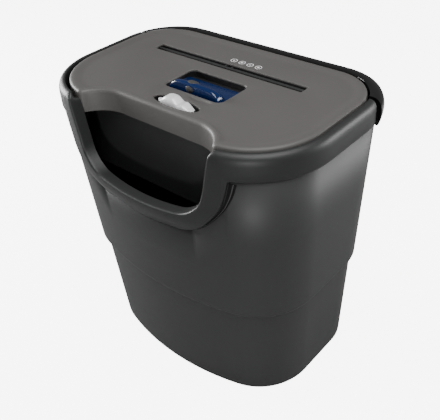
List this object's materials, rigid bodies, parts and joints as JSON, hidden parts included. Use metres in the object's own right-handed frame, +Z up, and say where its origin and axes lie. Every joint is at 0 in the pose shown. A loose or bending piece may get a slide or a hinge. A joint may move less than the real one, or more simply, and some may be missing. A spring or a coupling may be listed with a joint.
{
  "type": "paper shredder",
  "caption": "Office paper shredder: a cutting head with paper slot, sliding switch and safety lock lifts off a tapered waste bin with a large front opening.",
  "frame": {"origin": "under the middle of the overall box, on the surface the bin stands on", "axes": "+X along the paper slot to the right, +Y to the back, +Z up"},
  "size_m": [0.3656, 0.2528, 0.3782],
  "materials": {
    "bin_plastic": "fine matte texture",
    "collar_plastic": "satin",
    "cover_plastic": "fine matte texture",
    "housing_plastic": "matte",
    "gloss_black": "gloss",
    "zinc_steel": "zinc plated",
    "tool_steel": "oiled",
    "screw_steel": "black oxide",
    "sintered_bronze": "sintered",
    "ferrite": "matte",
    "board_green": "solder mask",
    "relay_blue": "smooth",
    "capacitor_yellow": "smooth",
    "nylon": "natural",
    "switch_black": "smooth",
    "gland_rubber": "matte",
    "copper_winding": "enamelled wire",
    "switch_silver": "satin silver",
    "lock_blue": "translucent blue"
  },
  "bodies": {
    "bin": {"waste_bin": "bin_plastic", "bin_collar": "collar_plastic"},
    "front_cutter": {"cutter_shaft_front": "tool_steel", "drive_gear": "nylon", "timing_gear_front": "tool_steel"},
    "rear_cutter": {"cutter_shaft_rear": "tool_steel", "timing_gear_rear": "tool_steel"},
    "idler_one": {"first_gear": "nylon"},
    "idler_two": {"second_gear": "nylon"},
    "rotor": {"armature": "copper_winding", "motor_pinion": "sintered_bronze", "cooling_fan": "switch_black"},
    "switch_slide": {"power_switch": "switch_silver"},
    "lock_slide": {"safety_lock": "lock_blue"},
    "plunger": {"interlock_plunger": "nylon"},
    "flag": {"paper_flag": "nylon"},
    "head": {"top_cover": "cover_plastic", "lower_housing": "housing_plastic", "rear_cap": "gloss_black", "throat_guide": "housing_plastic", "left_frame": "zinc_steel", "right_frame": "zinc_steel", "tie_rods": "zinc_steel", "front_stripper": "housing_plastic", "rear_stripper": "housing_plastic", "shaft_bushes": "sintered_bronze", "gear_plate": "zinc_steel", "plate_spacers": "zinc_steel", "gear_pins": "tool_steel", "motor_case": "zinc_steel", "motor_end_cap": "housing_plastic", "field_magnets": "ferrite", "motor_bushes": "sintered_bronze", "motor_screws": "screw_steel", "control_board": "board_green", "relay": "relay_blue", "capacitor": "capacitor_yellow", "terminal_block": "board_green", "thermal_cutout": "zinc_steel", "board_posts": "nylon", "switch_body": "switch_black", "paper_switch": "switch_black", "flag_pin": "tool_steel", "interlock_switch": "switch_black", "cord_gland": "gland_rubber", "cover_screws": "screw_steel", "frame_screws": "screw_steel", "rod_screws": "screw_steel"}
  },
  "joints": [
    {"name": "head_lift", "type": "slide", "parent": "bin", "child": "head", "axis": [0, 0, 1], "range_m": [0, 0.24]},
    {"name": "front_cutter_turn", "type": "hinge", "parent": "head", "child": "front_cutter", "pos_m": [-0.008, 0.0205, 0.312], "axis": [1, 0, 0], "continuous": true},
    {"name": "rear_cutter_turn", "type": "hinge", "parent": "head", "child": "rear_cutter", "pos_m": [-0.008, 0.0545, 0.312], "axis": [1, 0, 0], "continuous": true},
    {"name": "idler_two_turn", "type": "hinge", "parent": "head", "child": "idler_two", "pos_m": [0.13, -0.01532, 0.3156], "axis": [1, 0, 0], "continuous": true},
    {"name": "idler_one_turn", "type": "hinge", "parent": "head", "child": "idler_one", "pos_m": [0.125, -0.00531, 0.28732], "axis": [1, 0, 0], "continuous": true},
    {"name": "rotor_turn", "type": "hinge", "parent": "head", "child": "rotor", "pos_m": [0.07, -0.0325, 0.3], "axis": [1, 0, 0], "continuous": true},
    {"name": "power_switch_slide", "type": "slide", "parent": "head", "child": "switch_slide", "axis": [1, 0, 0], "range_m": [-0.005, 0.005]},
    {"name": "safety_lock_slide", "type": "slide", "parent": "head", "child": "lock_slide", "axis": [0, 1, 0], "range_m": [0, 0.008]},
    {"name": "interlock_press", "type": "slide", "parent": "head", "child": "plunger", "axis": [0, 0, 1], "range_m": [-0.003, 0]},
    {"name": "paper_flag_tilt", "type": "hinge", "parent": "head", "child": "flag", "pos_m": [-0.008, 0.0575, 0.352], "axis": [1, 0, 0], "range_deg": [0, 25], "stiffness_Nm_per_rad": 0.002, "springref_deg": -11.46}
  ],
  "couplings": [
    {"joint": "rear_cutter_turn", "follows": "front_cutter_turn", "ratio": -1},
    {"joint": "idler_two_turn", "follows": "front_cutter_turn", "ratio": -3},
    {"joint": "idler_one_turn", "follows": "front_cutter_turn", "ratio": 9},
    {"joint": "rotor_turn", "follows": "front_cutter_turn", "ratio": -36},
    {"joint": "interlock_press", "follows": "head_lift", "ratio": -0.0125}
  ]
}
